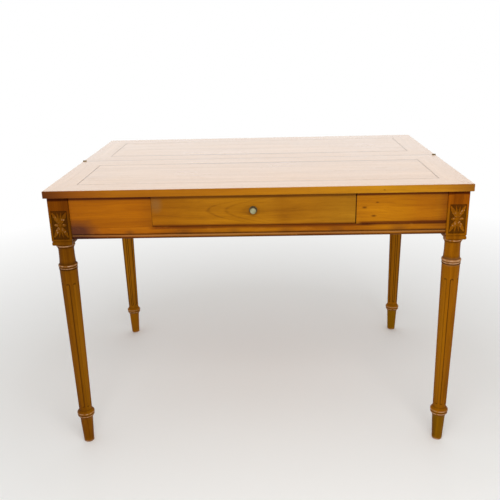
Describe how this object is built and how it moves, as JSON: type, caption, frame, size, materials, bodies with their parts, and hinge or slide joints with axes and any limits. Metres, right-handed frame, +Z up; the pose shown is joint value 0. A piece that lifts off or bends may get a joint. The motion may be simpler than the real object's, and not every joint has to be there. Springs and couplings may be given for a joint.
{
  "type": "games table",
  "caption": "Rectangular wooden games table with a hinged fold-over top, frieze drawer with knob, folding sides and turned fluted tapering legs on carved corner blocks.",
  "frame": {"origin": "on the floor, below the middle of the opened top", "axes": "+X to the right along the width, +Y to the back, +Z up; the drawer faces -Y"},
  "size_m": [1.1, 0.8, 0.7727],
  "materials": {
    "leg_wood": "waxed dark walnut, worn on the arrises",
    "top_wood": "polished walnut",
    "dark_line": "dark stained stringing",
    "frieze_wood": "polished honey-coloured walnut with knots",
    "drawer_wood": "polished walnut, cathedral grain",
    "frame_wood": "polished walnut",
    "inner_wood": "bare fir, dusty with age",
    "knob_brass": "pale turned brass",
    "hinge_brass": "dull old brass"
  },
  "bodies": {
    "frame": {"leg_front_left": "leg_wood", "leg_front_right": "leg_wood", "front_rail": "frame_wood", "frieze_left": "frieze_wood", "frieze_right": "frieze_wood", "side_left": "frame_wood", "side_right": "frame_wood", "back_rail": "inner_wood", "runner_left": "inner_wood", "runner_right": "inner_wood", "guide_left": "inner_wood", "guide_right": "inner_wood", "kicker_left": "inner_wood", "kicker_right": "inner_wood", "glue_blocks": "inner_wood", "top_board_front": "top_wood", "top_edge_front": "top_wood", "top_seam_front": "top_wood", "top_left_front": "top_wood", "top_right_front": "top_wood", "line_front": "dark_line", "leaf_hinges_fixed": "hinge_brass", "leaf_pins": "hinge_brass", "carcass_hinges": "hinge_brass", "carcass_pins": "hinge_brass"},
    "rear_leaf": {"top_board_rear": "top_wood", "top_edge_rear": "top_wood", "top_seam_rear": "top_wood", "top_left_rear": "top_wood", "top_right_rear": "top_wood", "line_rear": "dark_line", "leaf_hinges_moving": "hinge_brass"},
    "drawer": {"drawer_front": "drawer_wood", "drawer_side_left": "inner_wood", "drawer_side_right": "inner_wood", "drawer_back": "inner_wood", "drawer_bottom": "inner_wood", "knob": "knob_brass", "knob_rose": "knob_brass"},
    "fold_left_front": {"fold_left_a": "frame_wood", "fold_left_a_hinges": "hinge_brass", "fold_left_pin": "hinge_brass"},
    "fold_left_rear": {"fold_left_b": "frame_wood", "fold_left_b_hinges": "hinge_brass"},
    "fold_right_front": {"fold_right_a": "frame_wood", "fold_right_a_hinges": "hinge_brass", "fold_right_pin": "hinge_brass"},
    "fold_right_rear": {"fold_right_b": "frame_wood", "fold_right_b_hinges": "hinge_brass"},
    "rear_frame": {"leg_rear_left": "leg_wood", "leg_rear_right": "leg_wood", "rear_apron": "frame_wood", "rear_hinges": "hinge_brass", "rear_pins": "hinge_brass", "rear_glue_blocks": "inner_wood"}
  },
  "joints": [
    {"name": "drawer_slide", "type": "slide", "parent": "frame", "child": "drawer", "axis": [0, -1, 0], "range_m": [0, 0.19]},
    {"name": "leaf_fold", "type": "hinge", "parent": "frame", "child": "rear_leaf", "pos_m": [0, 0, 0.77015], "axis": [1, 0, 0], "range_deg": [0, 180]},
    {"name": "left_front_fold", "type": "hinge", "parent": "frame", "child": "fold_left_front", "pos_m": [-0.52, -0.0984, 0.6925], "axis": [0, 0, -1], "range_deg": [0, 90]},
    {"name": "left_mid_fold", "type": "hinge", "parent": "fold_left_front", "child": "fold_left_rear", "pos_m": [-0.5382, 0.1216, 0.6925], "axis": [0, 0, 1], "range_deg": [0, 180]},
    {"name": "left_rear_fold", "type": "hinge", "parent": "fold_left_rear", "child": "rear_frame", "pos_m": [-0.52, 0.3416, 0.6925], "axis": [0, 0, -1], "range_deg": [0, 90]},
    {"name": "right_front_fold", "type": "hinge", "parent": "frame", "child": "fold_right_front", "pos_m": [0.52, -0.0984, 0.6925], "axis": [0, 0, 1], "range_deg": [0, 90]},
    {"name": "right_mid_fold", "type": "hinge", "parent": "fold_right_front", "child": "fold_right_rear", "pos_m": [0.5382, 0.1216, 0.6925], "axis": [0, 0, -1], "range_deg": [0, 180]}
  ],
  "couplings": [
    {"joint": "left_front_fold", "follows": "left_mid_fold", "ratio": 0.5},
    {"joint": "left_rear_fold", "follows": "left_mid_fold", "ratio": 0.5},
    {"joint": "right_front_fold", "follows": "left_mid_fold", "ratio": 0.5},
    {"joint": "right_mid_fold", "follows": "left_mid_fold", "ratio": 1}
  ]
}
